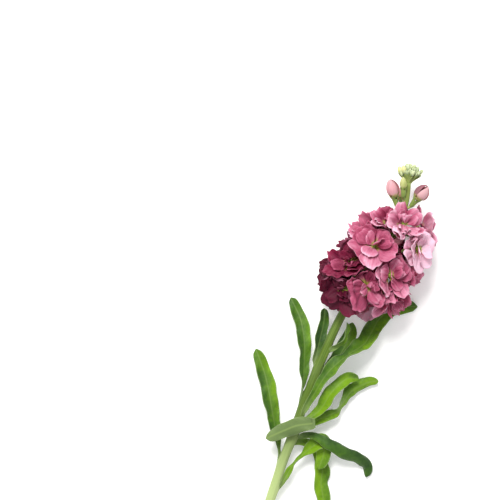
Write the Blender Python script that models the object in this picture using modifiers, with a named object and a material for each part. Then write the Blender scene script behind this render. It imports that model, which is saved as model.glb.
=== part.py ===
"""One cut stem of double stock (Matthiola incana), lying on a flat surface at z = 0.

The stalk runs along +X from its cut end to the crown of green buds, +Y is its left side seen from
above, and +Z is up. The blooms sit round the upper stalk in a golden-angle spiral. Each bloom keeps
to a cell of its own: planes between it and its neighbours bend its petals back, as crowding does.
Lengths are in millimetres, and MM turns them into metres where a mesh or a curve is made.
"""

from bisect import bisect_right
from collections import namedtuple
from math import ceil, cos, exp, hypot, pi, radians, sin, sqrt
from random import Random

import bmesh
import bpy
from mathutils import Matrix, Vector

MM = 0.001

# The small differences between blooms, buds and leaves are seeded draws.
SEED_OF_SPIRAL = 11
SEED_OF_BLOOMS = 100
SEED_OF_CROWN = 5
SEED_OF_LEAVES = 40

# The cut end is at x = 0 while the stem is modelled. Then all of it moves so that the middle of its
# box is the origin: these are that middle's x and y.
MIDDLE = (202.7, -5.6)

# Stalk: middle line as (x, (y, z)), and radius as (x, radius). It lies level on the surface for its
# first FLAT_RUN, where its lowest facet is the flat that it rests on.
FLAT_RUN = 30
STALK_SIDES = 12
CUT_RADIUS = 3.4
CUT_HEIGHT = CUT_RADIUS * cos(pi / STALK_SIDES)
STALK_LINE = (
    (-30, (-22, CUT_HEIGHT)), (0, (-18, CUT_HEIGHT)), (FLAT_RUN, (-14, CUT_HEIGHT)),
    (75, (-8, 5)), (120, (-4, 8)), (165, (0, 11)), (221, (2.5, 15)), (258, (3, 18.5)),
    (294, (1.5, 22)), (336, (-6, 25)), (374, (-10, 27)), (395, (-5.5, 28)), (410, (-2, 29)),
)
STALK_RADIUS = (
    (0, CUT_RADIUS), (FLAT_RUN, CUT_RADIUS), (165, 3.2), (290, 3.0), (350, 2.4), (380, 2.2), (400, 1.9),
)
STALK_END = 391
STALK_STATIONS = (0, FLAT_RUN, 75, 120, 165, 221, 258, 294, 315, 336, 355, 374, STALK_END)

# Spiral of blooms, lowest first. The blooms from FULL_BLOOMS on are younger and smaller.
BLOOMS = 22
GOLDEN_ANGLE = 137.5
FIRST_AZIMUTH = 23.5
FIRST_STATION = 294.5
STATION_STEP = 3.65
FULL_BLOOMS = 16
# The lowest blooms stand closer together: the first of them is this much further up.
LOW_CROWDING = 14
CROWDED_BLOOMS = 6
THROAT_RADIUS = 20.0
YOUNG_INSET = 5.0
FLOOR_SQUEEZE = 7.0
BLOOM_REACH = 18.0
YOUNG_REACH = 12.0
# The blooms on the stem's right reach out this much further than the spiral's, those on its left less.
RIGHTWARD = 2.5
# Blooms that stand off the spiral: mm further along the stalk, degrees further round it, and mm
# further out. Then two that have opened before their turn, by how young they look.
NUDGES = {
    2: (9, 4, -2), 5: (4, 2, 0), 6: (3, 3, 0), 7: (6, -2, -2), 10: (0, 11, 0), 11: (-2, 4, 0), 12: (2, -6, 0),
    13: (0, 9, 0), 15: (-9, -10, -3), 16: (-5, 14, -7), 17: (9, 42, 3), 18: (3, 12, -2), 19: (-9, 6, -4),
    20: (-13, 56, 4), 21: (-13, 8, -3),
}
OPENED_EARLY = {18: 0.7, 20: 0.15}

# Flower stalks and calyces.
CALYX_LENGTH = 9.0
BUD_CALYX_LENGTH = 5.0
CALYX_RADIUS = 2.3
PEDICEL_RADIUS = 0.9
PEDICEL_DROP = 12.0
BUD_PEDICEL_DROP = 9.0
ROOT_DEPTH_IN_STALK = 1.6

# Petals: layers of a bloom from its outside in. Angles are above the bloom's face, in degrees, and
# root_height is where on the heart a layer starts.
Layer = namedtuple("Layer", "petals length width claw opened curl cup root_height")
LAYERS = (
    Layer(5, 19.0, 17.5, 40, 12, -18, 0.08, 0.8),
    Layer(3, 13.0, 12.5, 50, 26, -14, 0.12, 2.4),
    Layer(2, 9.5, 9.0, 62, 46, -8, 0.18, 3.8),
)
CLOSED_ANGLE = 70
# Petals on a bloom's side towards the tip stand this much steeper, and those away from it flatter.
LOPSIDED = 11
PETAL_THICKNESS = 0.6
CLAW_END = 0.3
SETTLED = 0.45
WIDEST = 0.62
RIM_ROUND = 0.72
RIM_PULL = 0.07
IMBRICATION = 1.0
HEART_RADIUS = 2.4
HEART_HEIGHT = 5.5
HEART_GAP = 0.35
ROOT_DEPTH = 1.3
# Blooms that face further down than this have no third layer of petals, and those that face down
# more than FLOOR_SIDE have fewer petals in their second.
HIDDEN_BELOW = 0.8
FLOOR_SIDE = -0.3

# Cells. A wall between two blooms leans by up to SHINGLE degrees, so that the upper bloom's petals
# lie over the lower one's.
SHINGLE = 34.0
CELL_MARGIN = 0.7
CELL_SOFTNESS = (2.4, 1.0, 0.2, 0.2)
CELL_LIFT = 0.6
STALK_CLEARANCE = 11.0
FLOOR_CLEARANCE = 0.34
# The end of the leaf that reaches past the head lies under these blooms and lifts them.
LIFTED_BLOOMS = (4, 7)
LEAF_UNDER_HEAD = 4.8

# Buds. Those wider than OPENING_RADIUS have started to open.
Bud = namedtuple("Bud", "station azimuth out tilt length radius")
PINK_BUDS = (
    Bud(351, -21, 12.0, 50, 9, 2.6),
    Bud(380, 68, 8.2, 62, 14, 3.9),
    Bud(381.5, -72, 6.4, 60, 13, 4.4),
    Bud(380, 160, 8.5, 55, 10, 3.2),
)
GREEN_BUD = Bud(387.5, 32, 6.0, 76, 9, 2.4)
OPENING_RADIUS = 3.5
# The buds' cells reach this much past them.
BUD_ROOM = 1.2
BUD_PROFILE = ((0.04, 0.55), (0.2, 0.9), (0.45, 1.0), (0.7, 0.8), (0.9, 0.45), (1.0, 0.15))

# Crown at the tip: a flat-topped cluster of small green buds, the outer ones larger.
CROWN_INNER = 11
CROWN_OUTER = 6
CROWN_TOP = 12.6
CROWN_SIDE = 9.6
CROWN_INNER_SPREAD = 5.6
CROWN_OUTER_SPREAD = 7.4
CROWN_STALK_RADIUS = 0.55

# Leaves, from the cut end up: where each leaves the stalk, its widest half width, its midrib after
# that as (x, y, z), how its blade rolls as (share of length, degrees), and where it widens.
LEAF_THICKNESS = 0.6
LEAF_GAP = 0.35
LEAF_CELLS = 11
WAVE_LENGTH = 26
LEAF_BASE = 0.36
LEAF_TAPER = 0.2
LEAF_TIP_ROUND = 0.92
Leaf = namedtuple("Leaf", "station azimuth half_width midrib rolls widens", defaults=((0.06, 0.6),))
LEAVES = (
    Leaf(168, -80, 6.0,
         ((188, -8, 10.5), (200, -14, 11.5), (206, -19, 11.5), (200, -23, 9.5), (187, -24, 8.5)),
         ((0, 0), (0.35, -45), (0.6, -30), (0.8, 10), (1, 0)), (0.45, 0.72)),
    Leaf(186, 112, 5.5, ((200, 13, 8), (216, 23, 8), (233, 34, 5), (248, 47, 2.5)),
         ((0, 0), (0.4, 20), (1, -10))),
    Leaf(197, -145, 5.4,
         ((201, -12, 5.5), (196, -22, 4), (188, -27, 2.6), (178.6, -29.5, 2), (171, -34, 1.8), (160, -40, 1.5)),
         ((0, 0), (0.3, -15), (0.5, 25), (0.7, -10), (1, 10))),
    Leaf(203, -80, 4.4,
         ((208, -12, 16), (207, -25, 17), (205, -38, 14), (207, -47, 9), (203, -55, 5), (194, -57, 2.5)),
         ((0, 0), (0.35, -25), (0.75, 15), (1, 30))),
    Leaf(206, -100, 4.5,
         ((219, -11, 10), (229, -20, 11), (236, -22, 10), (246, -25, 8), (256, -34, 6), (259, -40, 4)),
         ((0, 0), (0.4, 10), (0.55, 55), (0.8, 15), (1, 5))),
    Leaf(213, -25, 5.5, ((216, -7, 24), (211, 2, 25), (203, 10, 22), (194, 18, 16)),
         ((0, 0), (0.4, 0), (1, 15))),
    Leaf(212, -65, 4.8, ((226, -9, 17), (241, -12, 19), (253, -18, 17), (256, -26, 13)),
         ((0, 0), (0.4, -30), (0.7, -15), (1, 20))),
    Leaf(222, -22, 6.3,
         ((236, -1, 22), (252, -4, 25), (268, -12, 24), (279, -20, 17), (289, -22.5, 8.5),
          (299, -24.5, 3), (310, -31, 2), (317, -46, 1.8)),
         ((0, 0), (0.3, -25), (0.5, -60), (0.62, -25), (0.8, 0), (1, 5))),
    Leaf(232, 95, 5.0, ((246, 11, 15), (262, 17, 14), (278, 26, 9), (290, 38, 4)),
         ((0, 0), (0.4, 25), (0.7, 10), (1, -10))),
    Leaf(250, -95, 5.5, ((262, -7, 13), (274, -9, 10.5), (283, -9, 8), (290, -8, 6)),
         ((0, 0), (0.4, -25), (0.7, -5), (1, 10))),
    Leaf(256, 80, 4.0, ((268, 9, 19), (282, 11, 17), (292, 14, 13)),
         ((0, 0), (0.4, 25), (1, 10))),
    Leaf(267, -45, 2.6, ((275, -5, 27), (283, -5, 30), (289, -3, 31)),
         ((0, 0), (0.5, 40), (1, 70))),
)

STALK_GREEN = (0.30, 0.42, 0.13)
LEAF_GREEN = (0.12, 0.27, 0.05)
BUD_GREEN = (0.42, 0.50, 0.20)
PETAL_PINK = (0.62, 0.17, 0.30)
BUD_PINK = (0.74, 0.36, 0.42)


def smoothstep(t):
    t = min(max(t, 0), 1)
    return t * t * (3 - 2 * t)


def through(knots, at):
    """Value at a place on the smooth curve through (place, value) knots; a value may be a tuple."""
    places = [place for place, _ in knots]
    values = [Vector(value) if isinstance(value, tuple) else value for _, value in knots]
    last = len(knots) - 1
    span = min(max(bisect_right(places, at) - 1, 0), last - 1)

    def slope(index):
        before, after = max(index - 1, 0), min(index + 1, last)
        return (values[after] - values[before]) * (1 / (places[after] - places[before]))

    width = places[span + 1] - places[span]
    t = min(max((at - places[span]) / width, 0), 1)
    return (
        values[span] * (2 * t**3 - 3 * t**2 + 1)
        + slope(span) * (width * (t**3 - 2 * t**2 + t))
        + values[span + 1] * (3 * t**2 - 2 * t**3)
        + slope(span + 1) * (width * (t**3 - t**2))
    )


def stalk_point(station):
    side, height = through(STALK_LINE, station)
    return Vector((station, side, height))


def stalk_radius(station):
    return through(STALK_RADIUS, station)


def stalk_frame(station):
    """Directions along the stalk, to its left and up from it."""
    along = (stalk_point(station + 2) - stalk_point(station - 2)).normalized()
    left = Vector((0, 0, 1)).cross(along).normalized()
    return along, left, along.cross(left)


def outward(station, azimuth):
    """Direction straight out of the stalk, at an azimuth in degrees from the top towards the left."""
    _, left, up = stalk_frame(station)
    return up * cos(radians(azimuth)) + left * sin(radians(azimuth))


def material(name, colour, roughness):
    finish = bpy.data.materials.new(name)
    finish.use_nodes = True
    shader = finish.node_tree.nodes["Principled BSDF"]
    shader.inputs["Base Color"].default_value = (*colour, 1)
    shader.inputs["Roughness"].default_value = roughness
    shader.inputs["Metallic"].default_value = 0
    return finish


def add_object(name, mesh, collection):
    piece = bpy.data.objects.new(name, mesh)
    collection.objects.link(piece)
    return piece


def tube(name, points, radii, sides, collection, turn=0.0, twist=0.0):
    """A round stalk through points, as a closed mesh: a bevelled curve whose caps are welded on.

    Its sides start at the angle turn, and go round by twist more from one end to the other.
    """
    curve = bpy.data.curves.new(name, "CURVE")
    curve.dimensions = "3D"
    curve.twist_mode = "Z_UP"
    curve.bevel_depth = MM
    curve.bevel_resolution = sides // 2 - 2
    curve.use_fill_caps = True
    spline = curve.splines.new("POLY")
    spline.points.add(len(points) - 1)
    for index, (place, point, radius) in enumerate(zip(spline.points, points, radii)):
        place.co = (*(point * MM), 1)
        place.radius = radius
        place.tilt = turn + twist * index / len(points)
    source = add_object(name + "_curve", curve, collection)
    bpy.context.view_layer.update()
    graph = bpy.context.evaluated_depsgraph_get()
    mesh = bpy.data.meshes.new_from_object(source.evaluated_get(graph))
    bpy.data.objects.remove(source)
    work = bmesh.new()
    work.from_mesh(mesh)
    bmesh.ops.remove_doubles(work, verts=work.verts, dist=0.00001)
    bmesh.ops.recalc_face_normals(work, faces=work.faces)
    work.to_mesh(mesh)
    work.free()
    return add_object(name, mesh, collection)


def sheet(name, across, along, place, thickness, collection):
    """A thin blade: a grid whose points go where place(u, v) says, cut in triangles, then solidified.

    u runs from -1 to 1 across the blade, and v from 0 at its root to 1 at its tip.
    """
    work = bmesh.new()
    bmesh.ops.create_grid(work, x_segments=across, y_segments=along, size=1)
    for vertex in work.verts:
        vertex.co = place(vertex.co.x, (vertex.co.y + 1) / 2) * MM
    bmesh.ops.remove_doubles(work, verts=work.verts, dist=0.00001)
    bmesh.ops.triangulate(work, faces=work.faces)
    mesh = bpy.data.meshes.new(name)
    work.to_mesh(mesh)
    work.free()
    blade = add_object(name, mesh, collection)
    wall = blade.modifiers.new("Thickness", "SOLIDIFY")
    wall.thickness = thickness * MM
    wall.offset = 0
    return blade


def fuse(name, pieces, finish, collection):
    """Joins closed pieces into one named body with one Boolean union, then removes the pieces.

    The MANIFOLD solver keeps it closed. EXACT leaves open edges where thin petals cross.
    """
    body, others = pieces[0], pieces[1:]
    group = bpy.data.collections.new(name + "_pieces")
    bpy.context.scene.collection.children.link(group)
    for piece in others:
        collection.objects.unlink(piece)
        group.objects.link(piece)
    union = body.modifiers.new("Union", "BOOLEAN")
    union.operation = "UNION"
    union.operand_type = "COLLECTION"
    union.collection = group
    union.solver = "MANIFOLD"
    bpy.context.view_layer.update()
    graph = bpy.context.evaluated_depsgraph_get()
    mesh = bpy.data.meshes.new_from_object(body.evaluated_get(graph))
    for piece in pieces:
        bpy.data.objects.remove(piece)
    bpy.data.collections.remove(group)
    mesh.materials.clear()
    mesh.materials.append(finish)
    return add_object(name, mesh, collection)


class Flower:
    """Where one bloom or bud sits: its throat, the way that it faces, and the reach of its petals."""

    def __init__(self, station, azimuth, out, tilt, reach):
        self.station = station
        self.azimuth = azimuth
        self.reach = reach
        along, _, _ = stalk_frame(station)
        radial = outward(station, azimuth)
        self.facing = (radial * cos(radians(tilt)) + along * sin(radians(tilt))).normalized()
        self.throat = stalk_point(station) + radial * out
        self.centre = self.throat + self.facing * HEART_HEIGHT
        across = along.cross(self.facing).normalized()
        self.axes = Matrix((self.facing.cross(across), across, self.facing)).transposed()
        self.clear_of_stalk = min(STALK_CLEARANCE, out - 2)
        self.floor = FLOOR_CLEARANCE
        self.walls = []

    def place(self, out, across, up):
        """A point given in the flower's own directions, from its throat."""
        return self.throat + self.axes @ Vector((out, across, up))

    def wall_from(self, other):
        """The plane between two flowers, as a point and the direction towards the other one's side."""
        gap = other.centre - self.centre
        share = 0.5 + (self.reach - other.reach) / (2 * gap.length)
        lean = radians(SHINGLE) * gap.normalized().x
        outer = (self.facing + other.facing).normalized()
        toward = gap.normalized() * cos(lean) + outer * sin(lean)
        return self.centre + gap * min(max(share, 0.25), 0.75), toward.normalized()

    def keep_in(self, point):
        """Bends a petal's point back from the cell's walls, the surface below and the stalk."""
        for softness in CELL_SOFTNESS:
            lift = CELL_LIFT if softness == CELL_SOFTNESS[0] else 0
            for wall, toward in self.walls:
                past = (point - wall).dot(toward) + CELL_MARGIN
                if past > -softness:
                    back = past + softness * exp(-(past + softness) / softness)
                    rise = self.facing - toward * self.facing.dot(toward)
                    point = point - toward * back + rise * (lift * back)
            low = self.floor + softness
            if point.z < low:
                point = Vector((point.x, point.y, self.floor + softness * exp((point.z - low) / softness)))
            off = point - stalk_point(point.x)
            near = hypot(off.y, off.z)
            if near < self.clear_of_stalk:
                point = stalk_point(point.x) + off * (self.clear_of_stalk / max(near, 0.1))
        return point


def spiral():
    """The blooms, lowest first. Those that face the surface are pressed in towards the stalk."""
    draw = Random(SEED_OF_SPIRAL)
    flowers = []
    for index in range(BLOOMS):
        azimuth = (FIRST_AZIMUTH + GOLDEN_ANGLE * index + 180) % 360 - 180
        young = smoothstep((index - FULL_BLOOMS + 3) / (BLOOMS - FULL_BLOOMS + 2))
        young = OPENED_EARLY.get(index, young)
        further, turned, outer = NUDGES.get(index, (0, 0, 0))
        down = max(0, -cos(radians(azimuth)))
        out = THROAT_RADIUS - FLOOR_SQUEEZE * down - YOUNG_INSET * young + draw.uniform(-1.5, 2.0)
        out += outer - RIGHTWARD * sin(radians(azimuth))
        tilt = -4 + 34 * smoothstep(index / 10) + 18 * young
        crowding = LOW_CROWDING * (1 - smoothstep(index / CROWDED_BLOOMS))
        station = FIRST_STATION + STATION_STEP * index + crowding + further
        reach = BLOOM_REACH + (YOUNG_REACH - BLOOM_REACH) * young
        flowers.append(Flower(station, azimuth + turned, out, tilt, reach))
    for index in LIFTED_BLOOMS:
        flowers[index].floor = LEAF_UNDER_HEAD
    return flowers


def petal_angle(layer, lean, curl, v):
    """Angle of a petal above the bloom's face at v, from its claw at 0 to its rim at 1."""
    return radians(layer.claw + (lean - layer.claw) * smoothstep(v / SETTLED) + curl * v * v)


def petal_line(layer, length, lean, curl, v):
    """How far out and how high a petal's middle line is at v."""
    steps = max(1, ceil(v * 12))
    angles = [petal_angle(layer, lean, curl, (step + 0.5) / steps * v) for step in range(steps)]
    stride = length * v / steps
    return stride * sum(map(cos, angles)), stride * sum(map(sin, angles))


def petal_half_width(width, v):
    """Half the width of a petal: it starts as a point inside the heart and has a round rim."""
    past = max(0, (v - WIDEST) / (1 - WIDEST))
    return width / 2 * min(1, v / WIDEST) ** 0.8 * sqrt(1 - RIM_ROUND * past**2)


def bloom_petal(name, flower, layer, depth, turn, size, openness, draw, collection):
    """One petal of a bloom. One edge lies over its neighbour, and the cell bends its rim."""
    length = layer.length * size * draw.uniform(0.92, 1.08)
    width = layer.width * size * draw.uniform(0.94, 1.06)
    lean = layer.opened + (CLOSED_ANGLE - layer.opened) * (1 - openness) + draw.uniform(-6, 6)
    lean += LOPSIDED * cos(turn)
    curl = layer.curl + draw.uniform(-12, 12)
    wave = draw.uniform(0.3, 0.9) * (1 if draw.random() < 0.5 else -1)
    root = HEART_RADIUS * (0.95 - 0.28 * depth) - ROOT_DEPTH

    def place(u, v):
        out, up = petal_line(layer, length, lean, curl, v)
        angle = petal_angle(layer, lean, curl, v)
        half = petal_half_width(width, v)
        lift = (layer.cup * half + wave * v * v) * u * u + IMBRICATION * smoothstep(v / 0.5) * u
        pull = length * RIM_PULL * abs(u) ** 2.2 * v**3
        radial = root + out - lift * sin(angle) - pull * cos(angle)
        height = layer.root_height + up + lift * cos(angle) - pull * sin(angle)
        across = half * u
        free = flower.place(
            radial * cos(turn) - across * sin(turn), radial * sin(turn) + across * cos(turn), height,
        )
        return free.lerp(flower.keep_in(free), smoothstep(v / CLAW_END))

    return sheet(name, 2, 3 if depth == 0 else 2, place, PETAL_THICKNESS, collection)


def bloom(name, flower, size, openness, layers, seed, finish, collection):
    """A double bloom: layers of petals out of a small heart above the calyx."""
    draw = Random(seed)
    pieces = [tube(
        name + "_heart",
        [flower.place(0, 0, up) for up in (HEART_GAP, HEART_HEIGHT * 0.45, HEART_HEIGHT)],
        (HEART_RADIUS * 0.8, HEART_RADIUS, HEART_RADIUS * 0.4), 4, collection,
    )]
    start = draw.uniform(0, 360)
    for depth, layer in enumerate(layers):
        for index in range(layer.petals):
            turn = radians(start + 36 * depth + 360 / layer.petals * index + draw.uniform(-7, 7))
            pieces.append(bloom_petal(
                f"{name}_petal", flower, layer, depth, turn, size, openness, draw, collection,
            ))
    return fuse(name, pieces, finish, collection)


def furled_bud(name, flower, bud, finish, collection):
    """A closed bud: a pointed form whose furled petals twist round it."""
    piece = tube(
        name, [flower.place(0, 0, up * bud.length) for up, _ in BUD_PROFILE],
        [bud.radius * girth for _, girth in BUD_PROFILE], 6, collection, twist=radians(126),
    )
    piece.data.materials.append(finish)
    return piece


def opening_bud(name, flower, bud, finish, collection):
    """A bud about to open: petals rolled round each other over a pointed core."""
    pieces = [tube(
        name + "_core",
        [flower.place(0, 0, up * bud.length) for up in (0.04, 0.3, 0.75)],
        [bud.radius * share for share in (0.5, 0.8, 0.3)], 6, collection,
    )]
    for index in range(3):
        turn = radians(120 * index + 40)

        def place(u, v):
            swell = bud.radius * (0.3 + 0.85 * sin(pi * min(v * 1.1, 1)) ** 0.8 - 0.1 * v)
            around = turn + u * 1.1 * (1 - 0.3 * v) * min(1, v * 4)
            off = swell + 0.55 * u * min(1, v * 3)
            return flower.place(off * cos(around), off * sin(around), bud.length * (0.08 + 0.92 * v))

        pieces.append(sheet(f"{name}_petal", 2, 3, place, PETAL_THICKNESS, collection))
    return fuse(name, pieces, finish, collection)


def flower_stalk(name, flower, calyx, drop, collection):
    """A pedicel that leaves the stalk below the flower and widens into its four-sided calyx."""
    along, _, _ = stalk_frame(flower.station)
    root = flower.station - drop
    sunk = stalk_point(root) + outward(root, flower.azimuth) * (stalk_radius(root) - ROOT_DEPTH_IN_STALK)
    foot = flower.throat - flower.facing * calyx
    elbow = sunk.lerp(foot, 0.55) + along * 0.8
    swollen = foot + flower.facing * calyx * 0.22
    mouth = flower.throat - flower.facing * 2
    points = (sunk, elbow, foot, swollen, mouth, flower.throat)
    slim, wide = PEDICEL_RADIUS, CALYX_RADIUS
    radii = (slim * 1.2, slim, slim, wide, wide, wide * 0.8)
    return tube(name, points, radii, 4, collection)


def stem(flowers, buds, finish, collection):
    """The main stalk with the stalks and calyces of its flowers, all grown as one body."""
    pieces = [tube(
        "stalk",
        [stalk_point(station) for station in STALK_STATIONS],
        [stalk_radius(station) for station in STALK_STATIONS],
        STALK_SIDES, collection, turn=pi / STALK_SIDES,
    )]
    for flower in flowers:
        pieces.append(flower_stalk("bloom_stalk", flower, CALYX_LENGTH, PEDICEL_DROP, collection))
    for flower in buds:
        pieces.append(flower_stalk("bud_stalk", flower, BUD_CALYX_LENGTH, BUD_PEDICEL_DROP, collection))
    return fuse("stem", pieces, finish, collection)


def tip_crown(finish, collection):
    """The flat-topped crown of unopened buds, each on its own short stalk from the stalk's end."""
    base = stalk_point(STALK_END)
    along, left, up = stalk_frame(STALK_END)
    pieces = [tube(
        "crown_core", [base + along * step for step in (0.4, 4, 8)], (1.6, 1.9, 1.0), 6, collection,
    )]
    draw = Random(SEED_OF_CROWN)
    for index in range(CROWN_INNER + CROWN_OUTER):
        outer = index >= CROWN_INNER
        turn = radians(GOLDEN_ANGLE * index)
        out = up * cos(turn) + left * sin(turn)
        if outer:
            size, start = 1.95, 2.2
            spread = CROWN_OUTER_SPREAD + draw.uniform(-0.6, 0.6)
            height = CROWN_SIDE + draw.uniform(-1.6, 0.8)
        else:
            size, start = 1.4, 4.5
            spread = CROWN_INNER_SPREAD * sqrt((index + 0.4) / CROWN_INNER)
            height = CROWN_TOP - 0.07 * spread**2 + draw.uniform(-0.5, 0.5)
        root = base + along * start + out * 0.5
        top = base + along * height + out * spread
        lean = (along * 1.6 + out * 0.11 * spread).normalized()
        points = (root, top - lean * size * 2.6, top - lean * size * 1.5, top, top + lean * size * 1.5)
        radii = (CROWN_STALK_RADIUS, CROWN_STALK_RADIUS, size * 0.95, size, size * 0.3)
        pieces.append(tube("crown_bud", points, radii, 4, collection))
    return fuse("tip_buds", pieces, finish, collection)


def leaf_half_width(form, length, v):
    """A leaf of stock: narrow at its base, widest in its outer half, round at its tip."""
    start, end = form.widens
    rounded = 1 - 2.1 * form.half_width / length
    past = max(0, (v - rounded) / (1 - rounded))
    share = LEAF_BASE + (1 - LEAF_BASE) * smoothstep((v - start) / (end - start))
    share -= LEAF_TAPER * smoothstep((v - 0.55) / 0.45)
    return form.half_width * share * sqrt(1 - LEAF_TIP_ROUND * past**2)


def leaf(name, form, seed, finish, collection):
    """One blade along its midrib, with a shallow keel and waved edges."""
    draw = Random(seed)
    out = outward(form.station, form.azimuth)
    root = stalk_point(form.station) + out * (stalk_radius(form.station) + LEAF_GAP + LEAF_THICKNESS * 0.75)
    points = [root] + [Vector(point) for point in form.midrib]
    travelled = [0.0]
    for before, after in zip(points, points[1:]):
        travelled.append(travelled[-1] + (after - before).length)
    length = travelled[-1]
    line = [(way / length, tuple(point)) for way, point in zip(travelled, points)]
    waves = length / WAVE_LENGTH
    phase = draw.uniform(0, 2 * pi)
    depth = draw.uniform(0.9, 1.3) * form.half_width / 5
    face = out if out.z > 0 else -out
    low = LEAF_THICKNESS / 2 + 0.05

    def place(u, v):
        v = v - 0.4 * form.half_width / length * u * u * smoothstep((v - 0.7) / 0.3)
        middle = through(line, v)
        along = (through(line, min(v + 0.02, 1)) - through(line, max(v - 0.02, 0))).normalized()
        level = face.lerp(Vector((0, 0, 1)), smoothstep(v / 0.35))
        level = (level - along * along.dot(level)).normalized()
        normal = Matrix.Rotation(radians(through(form.rolls, v)), 3, along) @ level
        half = leaf_half_width(form, length, v)
        wave = depth * sin(2 * pi * waves * v + phase + 1.3 * u) * smoothstep(v / 0.3)
        point = middle + normal.cross(along) * (half * u) + normal * ((0.3 * half + wave) * abs(u) ** 1.5)
        if point.z < low + 1:
            point.z = low + exp(point.z - low - 1)
        return point

    blade = sheet(name, 2, LEAF_CELLS, place, LEAF_THICKNESS, collection)
    blade.data.materials.append(finish)
    return blade


def main():
    for thing in list(bpy.data.objects):
        bpy.data.objects.remove(thing)
    collection = bpy.data.collections.new("stock_flower_stem")
    bpy.context.scene.collection.children.link(collection)

    blooms = spiral()
    buds = [
        Flower(bud.station, bud.azimuth, bud.out, bud.tilt, bud.radius + BUD_ROOM)
        for bud in (*PINK_BUDS, GREEN_BUD)
    ]
    flowers = blooms + buds
    for flower in flowers:
        flower.walls = [flower.wall_from(other) for other in flowers if other is not flower]

    stem(blooms, buds, material("stalk green", STALK_GREEN, 0.5), collection)

    petal_pink = material("petal pink", PETAL_PINK, 0.6)
    for index, flower in enumerate(blooms):
        young = smoothstep((index - FULL_BLOOMS + 1) / (BLOOMS - FULL_BLOOMS))
        young = OPENED_EARLY.get(index, young)
        layers = LAYERS if flower.facing.z > HIDDEN_BELOW and young == 0 else LAYERS[:2]
        if flower.facing.z < FLOOR_SIDE:
            layers = (LAYERS[0], LAYERS[1]._replace(petals=2, width=11.0))
        bloom(
            f"bloom_{index + 1:02}", flower, 1 - 0.25 * young, 1 - 0.5 * young, layers,
            SEED_OF_BLOOMS + index, petal_pink, collection,
        )

    bud_pink = material("bud pink", BUD_PINK, 0.6)
    for index, (flower, bud) in enumerate(zip(buds, PINK_BUDS)):
        make = opening_bud if bud.radius > OPENING_RADIUS else furled_bud
        make(f"bud_{index + 1:02}", flower, bud, bud_pink, collection)

    bud_green = material("bud green", BUD_GREEN, 0.6)
    furled_bud("green_bud", buds[-1], GREEN_BUD, bud_green, collection)
    tip_crown(bud_green, collection)

    leaf_green = material("leaf green", LEAF_GREEN, 0.55)
    for index, form in enumerate(LEAVES):
        leaf(f"leaf_{index + 1:02}", form, SEED_OF_LEAVES + index, leaf_green, collection)

    for piece in collection.objects:
        piece.data.transform(Matrix.Translation((-MIDDLE[0] * MM, -MIDDLE[1] * MM, 0)))


main()
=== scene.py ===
"""The looks of one cut stem of double stock (Matthiola incana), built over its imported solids.

Shapes are in millimetres on the stem's own lines: +X along the stalk from the cut end, +Y to its left
and +Z up from the surface it lies on. A Sculpt turns them into metres from the frame's origin. Blooms,
buds and leaves repeat the rules and seeds of the solids, so each piece stands where its solid does.
"""

from collections import namedtuple
from math import cos, pi, radians, sin
from random import Random

import bmesh
import bpy
import numpy as np
from mathutils import Matrix, Vector


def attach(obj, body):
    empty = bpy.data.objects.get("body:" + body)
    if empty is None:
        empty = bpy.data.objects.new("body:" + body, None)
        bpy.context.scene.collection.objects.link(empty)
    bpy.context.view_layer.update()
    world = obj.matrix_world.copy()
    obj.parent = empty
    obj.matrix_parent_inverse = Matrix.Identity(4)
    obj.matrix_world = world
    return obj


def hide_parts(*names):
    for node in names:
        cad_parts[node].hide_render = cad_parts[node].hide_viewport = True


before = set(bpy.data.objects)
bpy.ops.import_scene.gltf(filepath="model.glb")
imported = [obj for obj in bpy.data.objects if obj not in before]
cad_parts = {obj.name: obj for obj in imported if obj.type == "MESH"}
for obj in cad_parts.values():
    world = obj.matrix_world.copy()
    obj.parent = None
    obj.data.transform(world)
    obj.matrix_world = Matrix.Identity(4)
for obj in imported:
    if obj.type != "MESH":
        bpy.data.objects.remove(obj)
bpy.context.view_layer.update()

MM = 0.001
WELD = 0.000002
MIDDLE = np.array((202.7, -5.6, 0.0))
Z = np.array((0.0, 0.0, 1.0))
BODY = "root"

# Stalk: middle line as (x, (y, z)) and radius as (x, radius).
CUT_RADIUS = 3.4
CUT_HEIGHT = CUT_RADIUS * cos(pi / 12)
STALK_LINE = (
    (-30, (-22, CUT_HEIGHT)), (0, (-18, CUT_HEIGHT)), (30, (-14, CUT_HEIGHT)),
    (75, (-8, 5)), (120, (-4, 8)), (165, (0, 11)), (221, (2.5, 15)), (258, (3, 18.5)),
    (294, (1.5, 22)), (336, (-6, 25)), (374, (-10, 27)), (395, (-5.5, 28)), (410, (-2, 29)),
)
STALK_RADIUS = (
    (0, CUT_RADIUS), (30, CUT_RADIUS), (165, 3.2), (290, 3.0), (350, 2.4), (380, 2.2), (400, 1.9),
)
STALK_END = 391

# Spiral of blooms, lowest first.
BLOOMS = 22
FULL_BLOOMS = 16
GOLDEN_ANGLE = 137.5
FIRST_AZIMUTH = 23.5
FIRST_STATION = 294.5
STATION_STEP = 3.65
FULL_OUT = 20.0
FULL_REACH = 18.0
# Blooms that stand off the spiral: mm further along the stalk, degrees further round it, mm further
# out. Then those that have opened before their turn, by how young they look.
NUDGES = {
    2: (9, 4, -2), 5: (4, 2, 0), 6: (3, 3, 0), 7: (6, -2, -2), 10: (0, 11, 0), 11: (-2, 4, 0),
    12: (2, -6, 0), 13: (0, 9, 0), 15: (-9, -10, -3), 16: (-5, 14, -7), 17: (9, 42, 3),
    18: (3, 12, -2), 19: (-9, 6, -4), 20: (-13, 56, 4), 21: (-13, 8, -3),
}
OPENED_EARLY = {18: 0.7, 20: 0.15}
SEED_OF_SPIRAL = 11
SEED_OF_BLOOMS = 100
SEED_OF_RUFFLES = 700
SEED_OF_STALKS = 77
LIFTED_BLOOMS = (4, 7)

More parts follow.
